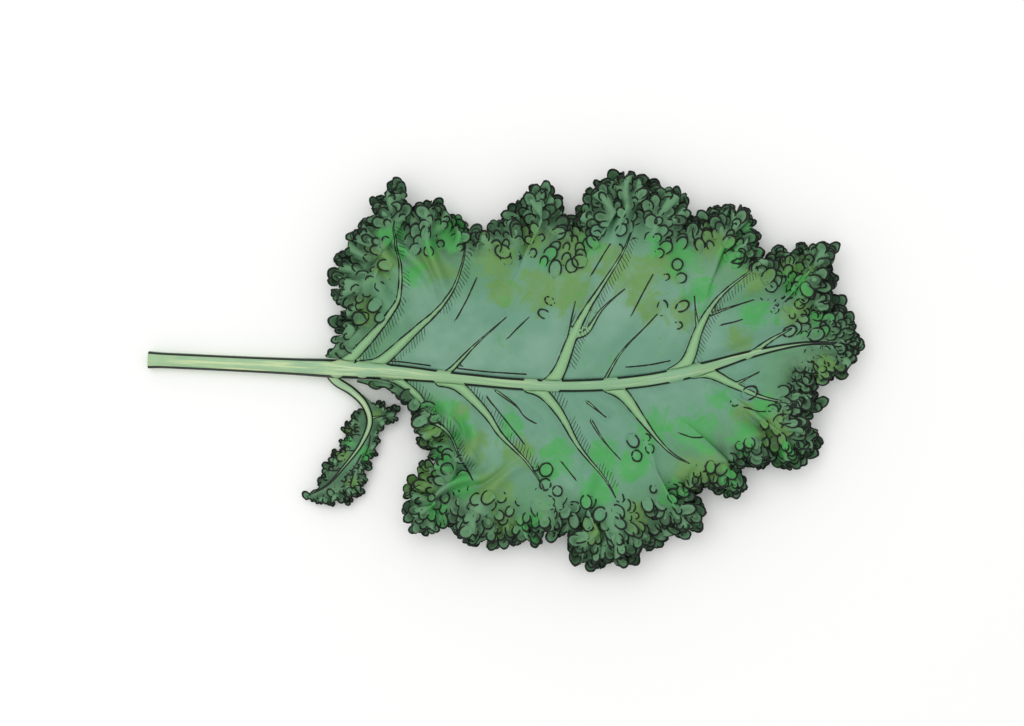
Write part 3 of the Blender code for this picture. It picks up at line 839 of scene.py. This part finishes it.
def makeBladeHalf(name, node, shape, rib, mesh, waves, curls, seed):
    plan = bladePlan(shape, rib, mesh)
    side, finer, corner = shape["side"], mesh["finer"], plan["corner"]
    patch = plan["patch"]
    columns, rows = patch.shape[:2]
    place, gap = blendedPlaces(plan, mesh)
    total = plan["places"][-1]
    bandRows = mesh["bandRows"]
    share = 1 - (1 - np.linspace(0, 1, bandRows + 1)) ** mesh["crowding"]
    band = ((1 - share[None, :, None]) * plan["inner"][:, None]
            + share[None, :, None] * plan["edge"][:, None])
    bandGap = (1 - share[None]) * plan["depth"][:, None]
    bandPlace = np.broadcast_to(plan["places"][:, None], bandGap.shape)

    flat = np.vstack([patch.reshape(-1, 2), band.reshape(-1, 2)])
    flatGap = np.concatenate([gap.ravel(), bandGap.ravel()])
    flatPlace = np.concatenate([place.ravel(), bandPlace.ravel()])
    toRib, ribShare, _ = nearestOnLine(flat, plan["flank"][::8])
    ribHeight = np.interp(ribShare, np.linspace(0, 1, len(plan["flank"])), plan["flank"][:, 2])
    reach = toRib / (toRib + flatGap + 0.5)
    ends = waves["ends"] * 1.2
    tipFade = ease(flatPlace / ends) * ease((total - flatPlace) / ends)
    rise = (waves["edgeHeight"] - ribHeight) * ease(reach * 1.15) * (0.35 + 0.65 * tipFade)
    height = ribHeight + rise

    # puffed up between the veins, with the ribs standing proud
    field = veinField(flat, shape["veins"], -side)
    veinGap = field["gap"]
    inside = ease(toRib / (0.3 * mesh["reach"]))
    height += mesh["puff"] * ease(veinGap / 9) * inside * ease(flatGap / 12)
    height += mesh["lumps"] * roughness(flat, mesh["lumpSize"], seed) * ease(veinGap / 4) * inside
    height += (mesh["veinRise"] * ease(-veinGap / 1.2)
               - mesh["veinGroove"] * np.exp(-((veinGap - 0.8) / 0.8) ** 2) * inside)
    thinLines = [(0.12, False, route) for route in shape["creases"]]
    drawn = veinField(flat, shape["veins"] + thinLines)

    broad = waves["broad"]
    drift = 1.1 * np.sin(flatPlace / 23 + seed) + 0.7 * np.sin(flatPlace / 11.3 + 2 * seed)
    phase = 2 * math.pi * flatPlace / broad["wave"] + drift
    strength = broad["height"] * np.exp(-(flatGap / broad["depth"]) ** 2) * tipFade
    strength *= ease(toRib / mesh["reach"])
    height += strength * np.sin(phase)

    patchCount = columns * rows
    points = np.column_stack([flat, height])
    bandPoints = points[patchCount:].reshape(len(plan["edge"]), bandRows + 1, 3)
    bandPoints, bandTroughShade = curlBand(bandPoints, plan, share, waves, side, seed)
    # painted shade: how deep each point lies in a trough of the waves, from the broad waves in the patch
    # and the folds and lobes in the band
    valley = np.concatenate([-strength[:patchCount] * np.sin(phase[:patchCount]) / broad["height"],
                             bandTroughShade.ravel()])
    # no fold goes below the lowest level, and each nears it gently
    low = waves["lowest"]
    points = np.vstack([points[:patchCount], bandPoints.reshape(-1, 3)])
    points[:, 2] = low + np.logaddexp(0, points[:, 2] - low)

    # the fine band shares the patch's outer corners
    patchGrid = np.arange(patchCount).reshape(columns, rows)
    shared = np.concatenate([patchGrid[0, :corner + 1], patchGrid[1:, -1]])
    bandGrid = patchCount + np.arange(bandGap.size).reshape(bandGap.shape)
    faces = quads(patchGrid)
    faces += quads(bandGrid[:, 1:])
    for c in range(len(shared) - 1):
        fine = bandGrid[c * finer:(c + 1) * finer + 1, 1]
        faces.append([int(shared[c]), int(shared[c + 1]), *map(int, fine[::-1])])
    used = np.ones(len(points), bool)
    used[bandGrid[:, 0]] = False
    renumber = np.cumsum(used) - 1
    faces = [[int(renumber[v]) for v in face] for face in faces]
    ribs = np.clip(-veinGap / 1.6, 0, 1) * (1 - 0.8 * np.clip(reach, 0, 1))
    attributes = {"edgeGap": flatGap, "rimGap": flatGap, "veinGap": drawn["gap"],
                  "veinOff": drawn["off"], "veinHalf": drawn["half"],
                  "hatchGap": field["leeShadeStroke"], "hatchAlong": field["strokeAlong"], "ribs": ribs,
                  "valley": valley, "tone": np.full(len(flat), shape.get("shade", 0.0)),
                  "olive": washed(flat, shape["olive"]), "fresh": washed(flat, shape["fresh"])}
    attributes = {key: values[used] for key, values in attributes.items()}
    points, flat, flatPlace = points[used], flat[used], flatPlace[used]
    if side > 0:
        faces = [face[::-1] for face in faces]
    outward = side * leftOf(soften(plan["edge"], 6 / plan["places"][1]))
    outward = unit(resample(outward, plan["places"], flatPlace))
    points, faces, attributes = addCurls(points, faces, attributes, flat, outward, curls,
                                         shape["curled"], toRib[used], seed)
    piece = newPiece(name, points, faces, attributes, bladeMaterial)
    thicken(piece, mesh, attributes["ribs"])
    joinFrame(piece, node)


def quads(grid):
    corners = [grid[:-1, :-1], grid[1:, :-1], grid[1:, 1:], grid[:-1, 1:]]
    return np.stack(corners, -1).reshape(-1, 4).tolist()


def curlBand(points, plan, share, waves, side, seed):
    # folds the band, then cuts its rim into round lobes that lie over and under each other, and gives how
    # deep each point lies in their troughs for the painted shade
    places = plan["places"]
    ends = ease(places / waves["ends"]) * ease((places[-1] - places) / waves["ends"])
    ends *= np.minimum(1, 1.3 * plan["depth"] / plan["depth"].max())
    gap = (1 - share[None]) * plan["depth"][:, None]
    valley = np.zeros(gap.shape)
    for number, kind in enumerate(("folds", "lobes")):
        wave = waves[kind]
        smooth = soften(points, 1.0 / places[1])
        tangent = unit(np.gradient(smooth, axis=0))
        outward = unit(np.gradient(smooth, axis=1))
        normal = unit(np.cross(tangent, outward)) * side
        rim = np.linalg.norm(np.diff(points[:, -1], axis=0), axis=1)
        arc = np.concatenate([[0], np.cumsum(rim)])
        uneven = waver(len(arc), places[1], wave["lumpSize"], seed + 7 * number)
        drift = 2.4 * waver(len(arc), places[1], 19, seed + 3 + number)
        turn = (math.pi if kind == "lobes" else 2 * math.pi) * arc / wave["wave"] + drift
        turn = turn[:, None] + 0.4 * number * share[None]
        size = ends * (1 + wave["uneven"] * uneven)
        strength = size[:, None] * np.exp(-(gap / wave["depth"]) ** 2) * ease(share * 2)[None]
        lift = wave["height"] * strength * np.sin(turn)
        sway = wave["sway"] * wave["height"] * strength * np.sin(2 * turn)
        if kind == "folds":
            push = -wave["rollBack"] * strength * np.sin(turn)
        else:
            push = wave["reach"] * strength * (np.abs(np.sin(turn)) ** 0.7 - 0.55)
        points = (points + normal * lift[..., None] - tangent * sway[..., None]
                  + outward * push[..., None])
        # painted shade, deeper in each trough
        valley += np.clip(-np.sin(turn), -1, 1) * strength * (0.5 if number else 0.8)
    return points, valley


def sheetNormals(points, faces):
    # the upward normal of the sheet at each of its points
    a, b, c, d = (points[[face[i] for face in faces]] for i in (0, 1, 2, -1))
    square = np.cross(c - a, d - b)
    normals = np.zeros_like(points)
    for i in (0, 1, 2, -1):
        np.add.at(normals, [face[i] for face in faces], square)
    return unit(normals) * np.where(normals[:, 2:] < 0, -1, 1)


def curlSpots(points, flat, edgeGap, curls, curled, toRib, random):
    # places for the curls, taken in a shuffled order and kept apart
    deep = washed(flat, curled)
    ragged = roughness(flat, 9, 6.5)
    wanted = edgeGap < curls["rimDepth"] * (1 + 0.5 * ragged)
    wanted |= deep > np.maximum(0.14 + 0.3 * ragged, 0.1)
    clear = (toRib > 0.6 * curls["large"]) | (flat[:, 0] > curls["tipFrom"])
    wanted &= (edgeGap > curls["inset"]) & clear
    kept, cells = [], {}
    for i in random.permutation(np.nonzero(wanted)[0]):
        spacing = curls["spacing"] * (1 + 0.02 * edgeGap[i])
        cell = tuple((points[i] // spacing).astype(int))
        near = [cells.get((cell[0] + x, cell[1] + y, cell[2] + z), [])
                for x in (-1, 0, 1) for y in (-1, 0, 1) for z in (-1, 0, 1)]
        if all(np.linalg.norm(points[i] - points[j]) > spacing for group in near for j in group):
            cells.setdefault(cell, []).append(i)
            kept.append(i)
    return np.array(kept)


def addCurls(points, faces, attributes, flat, outward, curls, curled, toRib, seed):
    random = np.random.default_rng(int(100 * seed))
    normals = sheetNormals(points, faces)
    spots = curlSpots(points, flat, attributes["edgeGap"], curls, curled, toRib, random)
    count = len(spots)
    # one curl is a round patch with a raised, ruffled rim, rooted at its inner end
    s, t = np.meshgrid(*[np.linspace(-1, 1, curls["cells"] + 1)] * 2, indexing="ij")
    across, out = s * np.sqrt(1 - t * t / 2), t * np.sqrt(1 - s * s / 2)
    radial, around = np.hypot(across, out), np.arctan2(across, out)

    def pick(low, high):
        return random.uniform(low, high, count)[:, None, None]

    size = curls["small"] + (curls["large"] - curls["small"]) * pick(0, 1) ** 1.5
    byRim = 1 - ease(attributes["edgeGap"][spots] / curls["rimDepth"] / 1.6)[:, None, None]
    tilt = pick(*curls["tilt"]) * (0.3 + 0.7 * byRim)
    turn = pick(-curls["turn"], curls["turn"])[:, 0]
    up = unit(0.5 * normals[spots] + (0, 0, 1))
    ahead = np.column_stack([outward[spots], np.zeros(count)])
    ahead = np.cos(turn) * ahead + np.sin(turn) * np.cross((0, 0, 1), ahead)
    ahead = unit(ahead - up * (ahead * up).sum(1, keepdims=True))
    beside = np.cross(ahead, up)
    far = size * curls["long"] * pick(0.75, 1.15) * (out + 0.8 - 0.45 * byRim)
    ruffle = curls["ruffle"] * np.sin(np.round(pick(3, 6)) * around + pick(0, 6.3))
    rise = size * radial ** 2 * (curls["cup"] * pick(0.5, 1.3) + ruffle) + far * np.sin(tilt)
    made = (points[spots][:, None, None] + beside[:, None, None] * (size * across)[..., None]
            + ahead[:, None, None] * (far * np.cos(tilt))[..., None]
            + up[:, None, None] * (rise - curls["sink"])[..., None])

    rooted = np.maximum(byRim, pick(0, 1) > 0.45)     # these have no dark line at the root
    rimGap = size * (1 - radial) + 2 * ease((-out - 0.45) / 0.3) * rooted
    # painted shade, darkest in the middle of each curl's cup
    cupShade = 0.9 * (1 - radial) - 0.25 + 0 * size
    tone = pick(-0.7, 0.6) + 0 * radial
    values = {"rimGap": rimGap, "valley": cupShade, "tone": tone}
    cornerGrid = np.arange(radial.size).reshape(radial.shape)
    oneCurl = np.array(quads(cornerGrid))
    first = len(points) + radial.size * np.arange(count)
    faces = faces + (first[:, None, None] + oneCurl[None]).reshape(-1, 4).tolist()
    for key, known in attributes.items():
        new = values.get(key, farOff if key in ("veinGap", "veinOff", "hatchGap") else 0.0)
        if key in ("olive", "fresh", "edgeGap"):      # the same as where the curl is rooted
            new = known[spots][:, None, None]
        attributes[key] = np.concatenate([known, np.broadcast_to(new, rimGap.shape).ravel()])
    print("  ", count, "curls")
    return np.vstack([points, made.reshape(-1, 3)]), faces, attributes


def thicken(piece, mesh, ribs):
    # the sheet gets its thickness, in ten levels from the thin parts to the thick veins
    levels = 10
    group = piece.vertex_groups.new(name="ribs")
    for level in range(1, levels + 1):
        chosen = np.nonzero(np.round(ribs * levels) == level)[0]
        if len(chosen):
            group.add(chosen.tolist(), level / levels, "REPLACE")
    shell = piece.modifiers.new("thickness", "SOLIDIFY")
    shell.thickness = mesh["rib"] * mm
    shell.offset = -0.4
    shell.vertex_group = "ribs"
    shell.thickness_vertex_group = mesh["thin"] / mesh["rib"]
    applyModifiers(piece)


makeStalk("kaleStalk", "stalk_and_midrib", stalk, ribLine)
makeStalk("kaleLeafletStalk", "leaflet_stalk", leafletStalk, leafletRib)
makeBladeHalf("kaleBladeLeft", "blade_left_half", bladeLeft, ribLine, bladeMesh, frillWaves,
              bladeCurls, 1.3)
makeBladeHalf("kaleBladeRight", "blade_right_half", bladeRight, ribLine, bladeMesh, frillWaves,
              bladeCurls, 4.1)
makeBladeHalf("kaleLeafletLeft", "leaflet_left_half", leafletLeft, leafletRib, leafletMesh,
              leafletWaves, leafletCurls, 7.7)
makeBladeHalf("kaleLeafletRight", "leaflet_right_half", leafletRight, leafletRib, leafletMesh,
              leafletWaves, leafletCurls, 9.2)


setting = {
    "middle": (88.5, 2.0),                # of the view, on the plan axes
    "viewWidth": 512,                     # as wide as this where the leaf's top lies
    "leafTop": 10,
    "lens": 90,
    "sensor": 36,
    "tableHalf": 3000,
    "table": paint(250, 250, 249),
    "tableShade": paint(247, 247, 246),
    "shadeSize": 400,
    "skyStrength": 0.79,
    "lampPower": 20,
    "lampSize": 2.0,                      # the lamp's size and place are in metres
    "lampPlace": (-0.4, 0.5, 2.2),
}


def layTable():
    half = setting["tableHalf"] * mm
    mesh = bpy.data.meshes.new("table")
    mesh.from_pydata([(-half, -half, 0), (half, -half, 0), (half, half, 0), (-half, half, 0)], [],
                     [(0, 1, 2, 3)])
    f = Finish("table_white")
    place = f.add("ShaderNodeTexCoord").outputs["Object"]
    patches = f.lumps(place, setting["shadeSize"])
    tone = f.blend(patches, setting["table"], setting["tableShade"])
    f.put(f.shader.inputs["Base Color"], tone)
    f.shader.inputs["Roughness"].default_value = 0.9
    f.shader.inputs["Specular IOR Level"].default_value = 0.0
    mesh.materials.append(f.material)
    table = bpy.data.objects.new("table", mesh)
    bpy.context.scene.collection.objects.link(table)


def lightStudio():
    world = bpy.data.worlds.new("studio")
    world.use_nodes = True
    sky = world.node_tree.nodes["Background"]
    sky.inputs["Color"].default_value = (1, 1, 1, 1)
    sky.inputs["Strength"].default_value = setting["skyStrength"]
    bpy.context.scene.world = world
    lamp = bpy.data.lights.new("softbox", "AREA")
    lamp.energy = setting["lampPower"]
    lamp.size = setting["lampSize"]
    softbox = bpy.data.objects.new("softbox", lamp)
    softbox.location = setting["lampPlace"]
    aim = Vector((0, 0, 0)) - softbox.location
    softbox.rotation_euler = aim.to_track_quat("-Z", "Y").to_euler()
    bpy.context.scene.collection.objects.link(softbox)


def placeCamera():
    eye = bpy.data.cameras.new("eye")
    eye.lens = setting["lens"]
    eye.sensor_width = setting["sensor"]
    height = setting["viewWidth"] * setting["lens"] / setting["sensor"] + setting["leafTop"]
    camera = bpy.data.objects.new("eye", eye)
    x, y = (home[:2] + setting["middle"]) * mm
    camera.location = (x, y, height * mm)
    bpy.context.scene.collection.objects.link(camera)
    bpy.context.scene.camera = camera


layTable()
lightStudio()
placeCamera()
bpy.context.scene.view_settings.view_transform = "Standard"
print("stage set")
